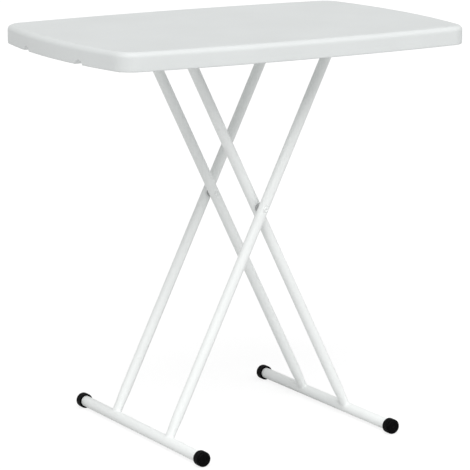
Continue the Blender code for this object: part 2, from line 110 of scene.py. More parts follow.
def colour_value(name, description, default):
    return bpy.props.FloatVectorProperty(
        name=name, description=description, default=default,
        size=3, min=0.0, max=1.0, subtype="COLOR",
    )


def angle_value(name, description, degrees):
    return bpy.props.FloatProperty(
        name=name, description=description, default=math.radians(degrees), subtype="ANGLE"
    )


class TopSettings(bpy.types.PropertyGroup):
    """Sizes and colour of the moulded top."""

    side_bow: length_value("Side bow", "How far the long edges bow outwards", 0.022)
    end_bow: length_value("End bow", "How far the short edges bow outwards", 0.030)
    corner_radius: length_value("Corner radius", "Round of the corners seen from above", 0.040)
    edge_radius: length_value("Edge radius", "Round between the top face and the skirt", 0.0095)
    rim_round: length_value("Rim round", "Round of the skirt's lower outer edge", 0.0018)
    rim_width: length_value("Rim width", "Width of the flat under the skirt", 0.014)
    rim_inner_round: length_value("Inner round", "Round of the skirt's lower inner edge", 0.0012)
    recess_draft: length_value("Recess draft", "How far the recess wall leans inwards", 0.003)
    recess_fillet: length_value("Recess fillet", "Fillet where the wall meets the deck", 0.003)
    dimple_radius: length_value("Dimple radius", "Mouth of the dimples in the underside", 0.0114)
    dimple_floor: length_value("Dimple floor", "Radius of a dimple's flat floor", 0.0050)
    dimple_depth: length_value("Dimple depth", "Depth of the dimples", 0.009)
    dimple_pitch: length_value("Dimple pitch", "Distance between dimples along the top", 0.075)
    dimple_reach: count_value("Dimple reach", "Dimples on each side of the middle one", 4)
    notch_half: length_value("Notch half width", "Half the mouth of the leg notches", 0.012)
    notch_depth: length_value("Notch depth", "Height of the notches in the left skirt", 0.008)
    colour: colour_value("Plastic", "Colour of the moulded plastic", (0.722, 0.745, 0.742))
    grain: length_value("Grain", "Width of the pebbles in the moulded skin", 0.0011)
    grain_height: length_value("Grain height", "Height of the pebbles", 0.00005)


class FrameSettings(bpy.types.PropertyGroup):
    """Sizes and colour of the tubes."""

    wall: length_value("Wall", "Wall of the tubes", 0.0012)
    flattening: number_value("Flattening", "How much a leg's foot end is pinched", 0.19)
    widening: number_value("Widening", "How much the pinched end widens", 0.05)
    pinch_start: length_value("Pinch start", "Where the pinch begins, from the foot tube", 0.054)
    pinch_end: length_value("Pinch end", "Where the pinch is complete", 0.013)
    weld: length_value("Weld", "Leg of the fillet weld round a joint", 0.0024)
    weld_ripples: count_value("Weld ripples", "Ripples round one joint", 26)
    dent: length_value("Dent", "Depth of the flat under a rivet head", 0.0013)
    dent_radius: length_value("Dent radius", "Radius of that flat", 0.0056)
    colour: colour_value("Paint", "Colour of the powder paint", (0.885, 0.906, 0.897))
    peel: length_value("Orange peel", "Width of the ripples in the paint", 0.0022)
    peel_height: length_value("Peel height", "Height of the ripples in the paint", 0.000018)


class CapSettings(bpy.types.PropertyGroup):
    """Sizes and colour of the foot caps and bar plugs."""

    nose: length_value("Nose", "Round between a cap's side and its face", 0.0052)
    lip: length_value("Lip", "Round of a cap's open edge", 0.0011)
    face_step: length_value("Face step", "How far a cap's face lies under its ring", 0.00035)
    ribs: count_value("Ribs", "Grip ribs round a cap", 36)
    rib_depth: length_value("Rib depth", "Depth of the grip ribs", 0.0006)
    bar_length: length_value("Mark length", "Length of the raised bar on a cap's face", 0.0066)
    bar_width: length_value("Mark width", "Width of that bar", 0.0017)
    bar_height: length_value("Mark height", "Height of that bar", 0.0008)
    colour: colour_value("Black plastic", "Colour of the caps and plugs", (0.0012, 0.0012, 0.0014))


class RackSettings(bpy.types.PropertyGroup):
    """Sizes of the height racks."""

    seats: count_value("Seats", "Seats for the sliding bar", 4)
    seat_depth: length_value("Seat depth", "How far a seat rises over the slot", 0.003)
    end_edge: length_value("End edge", "Metal beyond the slot's ends", 0.007)
    corner: length_value("Corner", "Round of the web's lower corners", 0.0135)
    bend: length_value("Bend", "Radius of the sheet's middle in the bend", 0.0019)


class HardwareSettings(bpy.types.PropertyGroup):
    """Sizes and colours of the sheet steel, screws, rivets and nylon pieces."""

    rivet_rise: length_value("Rivet rise", "Height of a rivet head", 0.0024)
    recess: length_value("Screw recess", "Depth of the cross recess in a screw", 0.0011)
    zinc: colour_value("Zinc", "Colour of the plated sheet steel", (0.60, 0.615, 0.63))
    screw: colour_value("Screws", "Colour of the plated screws", (0.50, 0.51, 0.53))
    nylon: colour_value("Nylon", "Colour of the bushes and spacers", (0.40, 0.41, 0.41))


class StageSettings(bpy.types.PropertyGroup):
    """Floor, lights and camera."""

    floor_colour: colour_value("Floor", "Colour of the floor", (0.25, 0.25, 0.25))
    floor_bounce: colour_value("Bounce", "Share of light the floor throws back", (0.7, 0.7, 0.7))
    floor_glow: number_value("Floor glow", "Light that the floor gives of itself", 0.8)
    sky: number_value("Sky", "Strength of the even light from all round", 0.50)
    front_light: number_value("Front light", "Strength of the light from the camera's side", 1.85)
    front_turn: angle_value("Front turn", "Compass turn of that light from +X", -123.0)
    front_tilt: angle_value("Front height", "Height of that light above the floor", 51.0)
    right_light: number_value("Right light", "Strength of the light from the right", 0.5)
    right_turn: angle_value("Right turn", "Compass turn of that light from +X", -50.0)
    right_tilt: angle_value("Right height", "Height of that light above the floor", 35.0)
    spread: angle_value("Spread", "Apparent width of both lights", 50.0)
    turn: angle_value("Camera turn", "How far the camera looks to the right of +Y", 30.899)
    tilt: angle_value("Camera tilt", "How far the camera looks down", 12.001)
    lens: number_value("Lens", "Focal length in millimetres", 199.58)


def soft_step(values, low, high):
    """0 below low and 1 above high, with a smooth S between."""
    share = np.clip((values - low) / (high - low), 0.0, 1.0)
    return share * share * (3.0 - 2.0 * share)


def paired(*parts):
    """Numbers and arrays side by side along a new last axis."""
    return np.stack(np.broadcast_arrays(*parts), axis=-1)


def round_points(centre, radius, start, end, steps):
    """(x, y) along an arc from one angle to another, both ends included."""
    turns = np.linspace(start, end, steps + 1)
    return np.asarray(centre) + radius * paired(np.cos(turns), np.sin(turns))


def grid_faces(rows, columns, close_rows=False, close_columns=False):
    """Quads of a grid of points numbered row by row."""
    row = np.arange(rows if close_rows else rows - 1)[:, None]
    column = np.arange(columns if close_columns else columns - 1)[None, :]
    below = (row + 1) % rows
    beside = (column + 1) % columns
    corners = ((row, column), (row, beside), (below, beside), (below, column))
    return paired(*((first * columns + second).ravel() for first, second in corners))


def shell(grid, close_rows=False):
    """A closed skin from a grid of points whose columns run all the way round.

    The rows close end to end, or each end row is closed by a fan to its middle point.
    """
    rows, columns = grid.shape[:2]
    points = grid.reshape(-1, 3)
    faces = [grid_faces(rows, columns, close_rows, True)]
    if not close_rows:
        first = np.arange(columns)
        last = first + (rows - 1) * columns
        for ring, pole in ((first[::-1], rows * columns), (last, rows * columns + 1)):
            faces.append(paired(ring, np.roll(ring, -1), pole))
        poles = np.stack([grid[0].mean(axis=0), grid[-1].mean(axis=0)])
        points = np.concatenate([points, poles])
    return points, faces


def together(parts):
    """Several (points, faces) pairs as one."""
    starts = np.cumsum([0] + [len(points) for points, _ in parts])
    faces = [quads + start for (_, sets), start in zip(parts, starts) for quads in sets]
    return np.concatenate([points for points, _ in parts]), faces


def make_mesh(name, points, faces, merge=False):
    """Puts whole arrays into a mesh, joins points that lie on each other and faces it outwards."""
    mesh = bpy.data.meshes.new(name)
    corners = np.concatenate([f.ravel() for f in faces]).astype(np.int32)
    sizes = np.concatenate([np.full(len(f), f.shape[1]) for f in faces]).astype(np.int32)
    mesh.vertices.add(len(points))
    mesh.vertices.foreach_set("co", points.astype(np.float32).ravel())
    mesh.loops.add(len(corners))
    mesh.loops.foreach_set("vertex_index", corners)
    mesh.polygons.add(len(sizes))
    mesh.polygons.foreach_set("loop_start", np.cumsum(sizes, dtype=np.int32) - sizes)
    mesh.polygons.foreach_set("loop_total", sizes)
    mesh.update(calc_edges=True)
    mesh.validate()
    work = bmesh.new()
    work.from_mesh(mesh)
    if merge:
        bmesh.ops.remove_doubles(work, verts=work.verts, dist=1e-6)
    bmesh.ops.recalc_face_normals(work, faces=work.faces)
    work.to_mesh(mesh)
    work.free()
    return mesh


def add_piece(name, surface, finish, body, slot, nodes, merge=False):
    """Makes one piece that rides on a body, stands for CAD nodes and takes a finish."""
    mesh = make_mesh(name, *surface, merge=merge)
    mesh.materials.append(finish)
    mesh.shade_smooth()
    mesh.set_sharp_from_angle(angle=SHARP_ANGLE)
    piece = bpy.data.objects.new(name, mesh)
    bpy.context.scene.collection.objects.link(piece)
    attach(piece, body)
    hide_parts(*nodes)
    return piece


def turned(profile, place, sides=64, towards=1, close_rows=False):
    """A profile of (radius, height) rows turned about the Y direction through a place.

    x = radius cos a, z = radius sin a, and y = height towards the back or the front.
    """
    angle = np.arange(sides) * (2 * math.pi / sides)
    radius, height = profile[:, :1], profile[:, 1:] * towards
    grid = paired(radius * np.cos(angle), height, radius * np.sin(angle))
    return shell(grid + np.asarray(place), close_rows)


class Value:
    """A number socket. Python's operators on it add Math nodes."""

    def __init__(self, look, socket):
        self.look = look
        self.socket = socket

    def math(self, operation, first, second):
        made = self.look.node("ShaderNodeMath", {"operation": operation}, {0: first, 1: second})
        return Value(self.look, made.outputs[0])

    def __add__(self, other):
        return self.math("ADD", self, other)

    def __sub__(self, other):
        return self.math("SUBTRACT", self, other)

    def __rsub__(self, other):
        return self.math("SUBTRACT", other, self)

    def __mul__(self, other):
        return self.math("MULTIPLY", self, other)

    __radd__ = __add__
    __rmul__ = __mul__


class Nodes:
    """A node tree, with one way to add a node and one way to fill a node's sockets."""

    def __init__(self, tree):
        self.tree = tree

    def feed(self, node, values):
        for key, value in values.items():
            socket = node.inputs[key.replace("_", " ") if isinstance(key, str) else key]
            if isinstance(value, Value):
                self.tree.links.new(value.socket, socket)
            elif isinstance(value, bpy.types.NodeSocket):
                self.tree.links.new(value, socket)
            else:
                socket.default_value = value

    def node(self, kind, settings, values):
        made = self.tree.nodes.new(kind)
        for key, value in settings.items():
            setattr(made, key, value)
        self.feed(made, values)
        return made

    def by_camera(self, seen, lit, end):
        """Ends the tree with one shader for what is seen and another for what lights the rest."""
        path = self.node("ShaderNodeLightPath", {}, {}).outputs["Is Camera Ray"]
        shaders = {0: path, 1: lit.outputs[0], 2: seen.outputs[0]}
        mixed = self.node("ShaderNodeMixShader", {}, shaders)
        self.feed(self.tree.nodes[end], {"Surface": mixed.outputs[0]})


class Look(Nodes):
    """A material being made: a Principled shader and the nodes that feed it."""

    def __init__(self, name, **values):
        self.material = bpy.data.materials.new(name)
        self.material.use_nodes = True
        super().__init__(self.material.node_tree)
        self.shader = self.tree.nodes["Principled BSDF"]
        self.feed(self.shader, values)
        self.object_place = self.node("ShaderNodeTexCoord", {}, {}).outputs["Object"]

    def noise(self, width, detail=2.0, roughness=0.5, stretch=None):
        """Noise whose blobs are about as wide as a length, on the object's own coordinates."""
        place = self.object_place
        if stretch is not None:
            mapping = {"Vector": place, "Scale": stretch}
            place = self.node("ShaderNodeMapping", {}, mapping).outputs[0]
        values = {"Vector": place, "Scale": 1.0 / width, "Detail": detail, "Roughness": roughness}
        return Value(self, self.node("ShaderNodeTexNoise", {}, values).outputs[0])

    def cells(self, width):
        """Distance to the middle of the nearest cell, for pebbles about as wide as a length."""
        values = {"Vector": self.object_place, "Scale": 1.0 / width, "Randomness": 1.0}
        made = self.node("ShaderNodeTexVoronoi", {"feature": "SMOOTH_F1"}, values)
        return Value(self, made.outputs["Distance"])

    def spread(self, value, low, high):
        """A number from 0 to 1 moved onto low to high, held at both ends."""
        values = {"Value": value, "From Min": 0.3, "From Max": 0.7, "To Min": low, "To Max": high}
        return Value(self, self.node("ShaderNodeMapRange", {"clamp": True}, values).outputs[0])

    def tint(self, share, first, second):
        """A colour that goes from the first to the second with a share."""
        made = self.node("ShaderNodeMix", {"data_type": "RGBA"}, {})
        self.feed(made, {0: share, 6: (*first, 1.0), 7: (*second, 1.0)})
        return made.outputs[2]

    def bump(self, height, distance):
        """Raises the surface by a height share times a distance."""
        values = {"Strength": 1.0, "Distance": distance, "Height": height}
        return self.node("ShaderNodeBump", {}, values).outputs[0]


def scaled(colour, share):
    return tuple(min(1.0, c * share) for c in colour)


def top_plastic(top):
    """Blow-moulded polyethylene: small pebbles, faint flow marks and a satin sheen."""
    look = Look("white_moulded_plastic", IOR=1.51)
    pebbles = look.cells(top.grain)
    fine = look.noise(top.grain * 0.4, detail=3.0)
    cloud = look.noise(0.11, detail=4.0, roughness=0.55)
    scuffs = look.noise(0.02, detail=6.0, roughness=0.7, stretch=(1.0, 3.5, 1.0))
    low, high = scaled(top.colour, 0.985), scaled(top.colour, 1.015)
    base = look.tint(look.spread(cloud, 0.0, 1.0), low, high)
    rough = look.spread(cloud, 0.47, 0.53) + (scuffs - 0.5) * 0.10 + (pebbles - 0.4) * 0.05
    skin = look.bump(pebbles * 0.8 + fine * 0.35, top.grain_height)
    look.feed(look.shader, {"Base Color": base, "Roughness": rough, "Normal": skin})
    return look.material


def frame_paint(name, settings):
    """White powder paint: orange peel, pinhead dust and slightly uneven gloss."""
    look = Look(name, IOR=1.5)
    peel = look.noise(settings.peel, detail=2.0, roughness=0.45)
    dust = look.noise(settings.peel * 0.2, detail=2.0)
    cloud = look.noise(0.06, detail=3.0)
    base = look.tint(look.spread(cloud, 0.0, 1.0), scaled(settings.colour, 0.985), settings.colour)
    rough = look.spread(cloud, 0.36, 0.43) + (dust - 0.5) * 0.06
    skin = look.bump(peel + dust * 0.25, settings.peel_height)
    look.feed(look.shader, {"Base Color": base, "Roughness": rough, "Normal": skin})
    return look.material


def black_plastic(name, settings):
    """Injection-moulded black plastic with a spark-eroded matte skin and rubbed patches."""
    look = Look(name, IOR=1.49, Specular_IOR_Level=0.05)
    grit = look.noise(0.0005, detail=3.0, roughness=0.6)
    rubs = look.noise(0.006, detail=5.0, roughness=0.65)
    base = look.tint(look.spread(rubs, 0.0, 1.0), settings.colour, scaled(settings.colour, 1.9))
    rough = look.spread(rubs, 0.26, 0.38) + (grit - 0.5) * 0.10
    skin = look.bump(grit, 0.00005)
    look.feed(look.shader, {"Base Color": base, "Roughness": rough, "Normal": skin})
    return look.material


def nylon(name, settings):
    """Waxy natural nylon with fine turning marks."""
    look = Look(name, IOR=1.53)
    mottle = look.noise(0.003, detail=4.0)
    lines = look.noise(0.0006, detail=2.0, stretch=(0.2, 3.0, 0.2))
    base = look.tint(look.spread(mottle, 0.0, 1.0), settings.nylon, scaled(settings.nylon, 0.9))
    rough = look.spread(mottle, 0.40, 0.52)
    skin = look.bump(lines, 0.00003)
    look.feed(look.shader, {"Base Color": base, "Roughness": rough, "Normal": skin})
    return look.material


def zinc_plate(name, colour, gloss):
    """Zinc-plated steel: rolling lines, cloudy passivation and small dull spots."""
    look = Look(name, Metallic=1.0)
    cloud = look.noise(0.018, detail=5.0, roughness=0.6)
    rolled = look.noise(0.0009, detail=3.0, stretch=(0.05, 1.0, 1.0))
    spots = look.noise(0.004, detail=2.0)
    warm = tuple(c * s for c, s in zip(colour, (1.0, 0.955, 0.86)))
    base = look.tint(look.spread(cloud, 0.0, 1.0), warm, scaled(colour, 1.06))
    rough = look.spread(cloud, gloss + 0.05, gloss - 0.03) + (spots - 0.5) * 0.12
    skin = look.bump(rolled + spots * 0.3, 0.00002)
    look.feed(look.shader, {"Base Color": base, "Roughness": rough, "Normal": skin})
    return look.material


def floor_finish(stage):
    """A bright, evenly lit sweep that throws only a part of its light back at the table."""
    look = Look("pale_floor", Emission_Color=WHITE, Emission_Strength=stage.floor_glow)
    wash = look.noise(0.9, detail=2.0)
    low, high = stage.floor_colour, scaled(stage.floor_colour, 1.01)
    base = look.tint(look.spread(wash, 0.0, 1.0), low, high)
    matte = {"Roughness": 0.9, "Specular IOR Level": 0.0}
    look.feed(look.shader, {"Base Color": base, **matte})
    values = {"Base Color": (*stage.floor_bounce, 1.0), **matte}
    bounce = look.node("ShaderNodeBsdfPrincipled", {}, values)
    look.by_camera(look.shader, bounce, "Material Output")
    return look.material


def soft_world(stage):
    """Even light from all round, with a backdrop as white as the floor."""
    world = bpy.data.worlds.new("soft_studio")
    world.use_nodes = True
    nodes = Nodes(world.node_tree)
    seen, lit = (
        nodes.node("ShaderNodeBackground", {}, {"Color": WHITE, "Strength": strength})
        for strength in (1.0, stage.sky)
    )
    nodes.by_camera(seen, lit, "World Output")
    return world


def bow_radius(half_chord, bow):
    """Radius of an arc from half its chord and its rise."""
    return (half_chord**2 + bow**2) / (2 * bow)


def stretches(parts):
    """Grid lines both ways from zero: each stretch (end, count) is split evenly."""
    ends = [0.0] + [end for end, _ in parts]
    pieces = [np.linspace(a, b, n + 1)[1:] for a, b, (_, n) in zip(ends, ends[1:], parts)]
    right = np.concatenate(pieces)
    return np.concatenate([-right[::-1], [0.0], right])


def mirrored(quarter):
    """A quarter's rows of (x, y) points, all the way round by mirror images."""
    upper = np.concatenate([quarter, (quarter * (-1, 1))[..., -2::-1, :]], axis=-2)
    return np.concatenate([upper, (upper * (1, -1))[..., -2:0:-1, :]], axis=-2)


def outline_arcs(top, xs, ys, corner_steps):
    """Centre, radius and angle of the arc under each point of a quarter of the outline.

    The quarter runs up the end bow, round the corner and along the side bow. The corner's centre
    is where circles one corner radius inside both bows cross.
    """
    half_length, half_width = TOP_SIZE[0] / 2, TOP_SIZE[1] / 2
    side = bow_radius(half_length, top.side_bow)
    end = bow_radius(half_width, top.end_bow)
    side_centre = np.array((0.0, half_width - side))
    end_centre = np.array((half_length - end, 0.0))
    apart = end_centre - side_centre
    distance = np.linalg.norm(apart)
    unit = apart / distance
    inner_side, inner_end = side - top.corner_radius, end - top.corner_radius
    along = (inner_side**2 - inner_end**2 + distance**2) / (2 * distance)
    beside = math.sqrt(inner_side**2 - along**2)
    corner = side_centre + unit * along + np.array((unit[1], -unit[0])) * beside
    end_turn = math.atan2(*(corner - end_centre)[::-1])
    side_turn = math.atan2(*(corner - side_centre)[::-1])
    ys, xs = ys[ys >= 0], xs[xs >= 0]
    up_end = ys[: len(ys) - corner_steps]
    along_side = xs[: len(xs) - corner_steps][::-1]
    turns = np.concatenate([
        end_turn * up_end / up_end[-1],
        np.linspace(end_turn, side_turn, 2 * corner_steps + 1)[1:],
        QUARTER - (QUARTER - side_turn) * along_side[1:] / along_side[0],
    ])
    counts = (len(up_end), 2 * corner_steps, len(along_side) - 1)
    centres = np.repeat([end_centre, corner, side_centre], counts, axis=0)
    radii = np.repeat([end, top.corner_radius, side], counts)
    return centres, radii, turns


def skirt_section(top):
    """(inset, height) rows over the edge, down the skirt, under the rim and up the recess wall."""
    edge, rim, inner = top.edge_radius, top.rim_round, top.rim_inner_round
    over_edge = round_points((edge, TOP_Z - edge), edge, QUARTER, 2 * QUARTER, 16)
    under_rim = round_points((rim, RIM_Z + rim), rim, 2 * QUARTER, 3 * QUARTER, 6)
    back_up = round_points((top.rim_width - inner, RIM_Z + inner), inner, -QUARTER, 0.0, 4)
    wall_top = top.rim_width + top.recess_draft
    fillet = top.recess_fillet
    middle = (wall_top + fillet, UNDERSIDE_Z - fillet)
    into_deck = round_points(middle, fillet, 2 * QUARTER, QUARTER, 5)
    heights = np.linspace(over_edge[-1, 1], under_rim[0, 1], 7)[1:-1]
    support = np.array([(edge + 0.0015, TOP_Z)])
    skirt = paired(0.0, heights)
    return np.concatenate([support, over_edge, skirt, under_rim, back_up, into_deck])


def notch_lift(top, x, y):
    """How far the rim rises at a point: an arc over each outer leg, at the left end only."""
    radius = bow_radius(top.notch_half, top.notch_depth)
    off = np.clip(np.abs(np.abs(y) - LEG_Y["outer"]), 0.0, radius)
    arch = np.sqrt(radius**2 - off**2) - (radius - top.notch_depth)
    return np.where(x < 0, np.clip(arch, 0.0, None), 0.0)


def dimple_field(top, row, window, steps):
    """Every dimple with its square of deck: rows go from the square in to the dimple's middle.

    A row is a circle of radius r and rise z, with z the depth times a smooth S of the way in.
    """
    side = np.linspace(-window, window, steps + 1)[:-1]
    sides = ((window, side), (-side, window), (-window, -side), (side, -window))
    square = np.concatenate([paired(x, y) for x, y in sides])
    turn = np.arctan2(square[:, 1], square[:, 0])
    share = np.linspace(0.0, 1.0, 13)
    radius = top.dimple_radius + (top.dimple_floor - top.dimple_radius) * share
    rise = top.dimple_depth * soft_step(share, 0.0, 1.0)
    rings = radius[:, None, None] * paired(np.cos(turn), np.sin(turn))
    flat = np.concatenate([square[None], rings, rings[-1:] * 0.5])
    heights = UNDERSIDE_Z + np.concatenate([[0.0], rise, rise[-1:]])
    one = paired(flat[..., 0], flat[..., 1], heights[:, None])
    rows, columns = one.shape[:2]
    faces = grid_faces(rows, columns, close_columns=True)
    last = np.arange(columns) + (rows - 1) * columns
    fan = paired(last, np.roll(last, -1), rows * columns)
    points = np.concatenate([one.reshape(-1, 3), [(0.0, 0.0, heights[-1])]])
    places = [
        (i * top.dimple_pitch, y, 0.0)
        for i in range(-top.dimple_reach, top.dimple_reach + 1) for y in (-row, 0.0, row)
    ]
    return together([(points + np.array(place), [faces, fan]) for place in places])


def tabletop_surface(top):
    """The whole top: a bowed shell from the flat face round to the recess, and the dimpled deck.

    The deck is a grid of straight lines whose outermost line is joined to the recess outline, so
    each outline point belongs to one grid line. Squares round the dimples are left out of the
    grid and filled by the dimples' own rings.
    """
    # Half of a dimple's square, and the steps across it and round a quarter of the corner.
    window, steps, corner_steps = 0.0128, 10, 8
    # Rows of the shell up to the rim's lowest line, and rows from the recess to the grid.
    outer_rows, deck_rows = 25, 4
    notch_window, notch_steps = 0.0135, 26
    recess = top.rim_width + top.recess_draft
    rack_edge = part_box("height_rack_back")[1].y
    row = (rack_edge + TOP_SIZE[1] / 2 - top.side_bow - recess) / 2
    notch_y = LEG_Y["outer"] * 0.95
    x_parts = [(window, steps // 2)]
    for i in range(1, top.dimple_reach + 1):
        x_parts += [(i * top.dimple_pitch - window, 3), (i * top.dimple_pitch + window, steps)]
    x_parts.append((x_parts[-1][0] + 0.012, corner_steps))
    y_parts = [(window, steps // 2), (notch_y - notch_window, 4)]
    y_parts.append((notch_y + notch_window, notch_steps))
    y_parts += [(row - window, 4), (row + window, steps), (row + window + 0.005, corner_steps)]
    xs, ys = stretches(x_parts), stretches(y_parts)
    centres, radii, turns = outline_arcs(top, xs, ys, corner_steps)
    section = skirt_section(top)
    reach = (radii[None] - section[:, :1])[..., None]
    outline = mirrored(centres + reach * paired(np.cos(turns), np.sin(turns)))
    up, across = ys[ys >= 0], xs[xs >= 0][-2::-1]
    inner = np.concatenate([paired(xs[-1], up), paired(across, ys[-1])])
    share = np.linspace(0.0, 1.0, deck_rows + 1)[1:, None, None]
    outline = np.concatenate([outline, outline[-1] * (1 - share) + mirrored(inner) * share])
    height = np.concatenate([section[:, 1], np.full(len(share), UNDERSIDE_Z)])[:, None]
    inside = np.arange(len(height))[:, None] >= outer_rows
    hold = np.where(inside, UNDERSIDE_Z, TOP_Z - top.edge_radius)
    weight = np.clip((hold - height) / (hold - RIM_Z), 0.0, 1.0)
    height = height + weight * notch_lift(top, outline[..., 0], outline[..., 1])
    ring = np.concatenate([outline, height[..., None]], axis=2)
    rows, columns = ring.shape[:2]
    top_face = np.arange(columns)[None]
    skin = (ring.reshape(-1, 3), [grid_faces(rows, columns, close_columns=True), top_face])
    x_mid, y_mid = (xs[1:] + xs[:-1]) / 2, (ys[1:] + ys[:-1]) / 2
    in_x = np.abs(x_mid - np.round(x_mid / top.dimple_pitch) * top.dimple_pitch) < window
    in_y = np.minimum(np.abs(y_mid), np.abs(np.abs(y_mid) - row)) < window
    in_x &= np.abs(x_mid) < top.dimple_reach * top.dimple_pitch + window
    grid_x, grid_y = np.meshgrid(xs, ys)
    flat = paired(grid_x, grid_y, UNDERSIDE_Z).reshape(-1, 3)
    cells = grid_faces(len(ys), len(xs))[~(in_y[:, None] & in_x[None]).ravel()]
    used, cells = np.unique(cells, return_inverse=True)
    deck = (flat[used], [cells.reshape(-1, 4)])
    return together([skin, deck, dimple_field(top, row, window, steps)])


def leg_surface(settings, kind, side, foot, bar, sides=96):
    """A leg from its weld on the foot tube to its weld on the top bar.

    A point lies at t along the leg, c across it in the fold's plane and s along Y, on an ellipse
    of half widths a and b. A joint's edge is where the ellipse meets the cross tube, t = root of
    (R squared less c squared), and the weld is a concave quarter round from there up the leg. The
    foot end is pinched, and a flat lies under the rivet head.
    """
    leg_y = side * LEG_Y[kind]
    along = (bar - foot) * (1, 0, 1)
    length = np.linalg.norm(along)
    along = along / length
    normal = np.array((-along[2], 0.0, along[0]))
    angle = np.arange(sides) * (2 * math.pi / sides)
    wave = 1.0 + 0.10 * np.cos(settings.weld_ripples * angle)
    crossing = np.linalg.norm((CROSSING - foot) * (1, 0, 1))

    def half_widths(t):
        pinch = 1.0 - soft_step(t, settings.pinch_end, settings.pinch_start)
        shares = (1 - settings.flattening * pinch, 1 + settings.widening * pinch)
        return TUBE_RADIUS * shares[0], TUBE_RADIUS * shares[1]

    def weld_rows(cross_radius, near):
        a, b = half_widths(np.array(near))
        turn = np.linspace(QUARTER, 0.0, 8)[:, None]
        out = settings.weld * wave * (1 - np.cos(turn))
        rise = settings.weld * wave * (1 - np.sin(turn))
        c, s = (a + out) * np.cos(angle), (b + out) * np.sin(angle)
        widest = 0.985 * cross_radius
        t = np.sqrt(cross_radius**2 - np.clip(c, -widest, widest) ** 2) + rise
        shrink = ((t, 0.55), (c, 0.8), (s, 0.8))
        return [np.concatenate([rows[:1] * share, rows]) for rows, share in shrink]

    low_t, low_c, low_s = weld_rows(FOOT_TUBE_RADIUS, FOOT_TUBE_RADIUS)
    high_t, high_c, high_s = weld_rows(TUBE_RADIUS, length)
    rivet, band, pinched = crossing / length, 0.016, 0.12
    stops = (0.0, pinched, rivet - band, rivet + band, 1.0)
    counts = (14, 6, 36, 8)
    parts = [np.linspace(a, b, n)[1:] for a, b, n in zip(stops, stops[1:], counts)]
    share = np.concatenate(parts)[:-1, None]
    t = low_t[-1] * (1 - share) + (length - high_t[-1]) * share
    a, b = half_widths(t)
    c, s = a * np.cos(angle), b * np.sin(angle)
    outward = side if kind == "outer" else -side
    off = np.hypot(t - crossing, c)
    dent_slope = 0.003
    outside = soft_step(off, settings.dent_radius, settings.dent_radius + dent_slope)
    limit = TUBE_RADIUS - settings.dent * (1 - outside)
    s = np.where(s * outward > 0, np.sign(outward) * np.minimum(np.abs(s), limit), s)
    t = np.concatenate([low_t, t, (length - high_t)[::-1]])[..., None]
    c = np.concatenate([low_c, c, high_c[::-1]])[..., None]
    s = np.concatenate([low_s, s, high_s[::-1]])[..., None]
    start = foot * (1, 0, 1) + (0, leg_y, 0)
    return shell(start + along * t + normal * c + np.array((0.0, 1.0, 0.0)) * s)


def tube_profile(radius, wall, half):
    """Closed (radius, height) loop of a tube's wall with softened ends."""
    soft = wall * 0.3
    outer = round_points((radius - soft, half - soft), soft, 0.0, QUARTER, 3)
    inner = round_points((radius - wall + soft, half - soft), soft, QUARTER, math.pi, 3)
    end = np.concatenate([outer, inner])
    return np.concatenate([end, (end * (1, -1))[::-1]])


def cap_surface(settings, foot, side):
    """A foot cap: a cup with a ribbed rim, a stepped face and a raised bar on it.

    Rows run from the face's middle over the nose and the ribbed side to the lip and up the bore.
    The ribs take a cosine of the angle off the radius. The bar is a smooth box in x and z.
    """
    ribs = settings.ribs
    angle = np.arange(ribs * 6) * (2 * math.pi / (ribs * 6))
    end = CAP_LENGTH
    nose, lip, step = settings.nose, settings.lip, settings.face_step
    flat = CAP_RADIUS - nose
    bore, bevel, bottom, face_rows = FOOT_TUBE_RADIUS + RUNNING_GAP, 0.0006, end - 0.003, 21
    across_face = np.linspace(0.0, flat * 0.80, face_rows + 1)[1:]
    face = paired(across_face, end - step)
    edge = np.array([
        (flat * 0.86, end - step * 0.55), (flat * 0.90, end - step * 0.1), (flat * 0.95, end),
    ])
    over = round_points((flat, end - nose), nose, QUARTER, 0.0, 12)
    side_rows = paired(CAP_RADIUS, np.linspace(end - nose, lip, 8)[1:-1])
    round_lip = round_points((CAP_RADIUS - lip, lip), lip, 0.0, -QUARTER, 5)
    inside = np.array([
        (bore + bevel, 0.0), (bore, bevel), (bore, end * 0.5), (bore, bottom), (bore * 0.5, bottom),
    ])
    profile = np.concatenate([face, edge, over, side_rows, round_lip, inside])
    radius, height = profile[:, :1], profile[:, 1:]
    outside = np.arange(len(profile)) < len(profile) - len(inside)
    ribbed = soft_step(radius[:, 0], flat + nose * 0.35, CAP_RADIUS - 0.0004) * outside
    ribbed = ribbed * soft_step(height[:, 0], 0.0, lip * 2.2)
    groove = (0.5 - 0.5 * np.cos(ribs * angle)) ** 2
    radius = radius - settings.rib_depth * ribbed[:, None] * groove
    across, up = radius * np.sin(angle), -radius * np.cos(angle)
    bar = 1 - soft_step(np.abs(across), settings.bar_width * 0.25, settings.bar_width * 0.75)
    bar = bar * (1 - soft_step(np.abs(up), settings.bar_length * 0.42, settings.bar_length * 0.56))
    height = height + settings.bar_height * bar * (np.arange(len(profile)) < face_rows)[:, None]
    return shell(paired(across, side * height, up) + foot)


def plug_profile(radius, length, stem):
    """A push-in plug: a low dome with a shallow dish, a head and a tapered stem."""
    head, dent = 0.0020, 0.0004
    soft, neck = head * 0.7, length - head
    top = round_points((radius - soft, length - soft), soft, QUARTER, 0.0, 6)
    dish = np.array([
        (radius * 0.10, length - dent),
        (radius * 0.5, length - dent * 0.875),
        (radius * 0.62, length),
    ])
    below = [(radius, neck), (stem, neck), (stem, neck * 0.3), (stem * 0.85, 0.0)]
    return np.concatenate([dish, top, below])


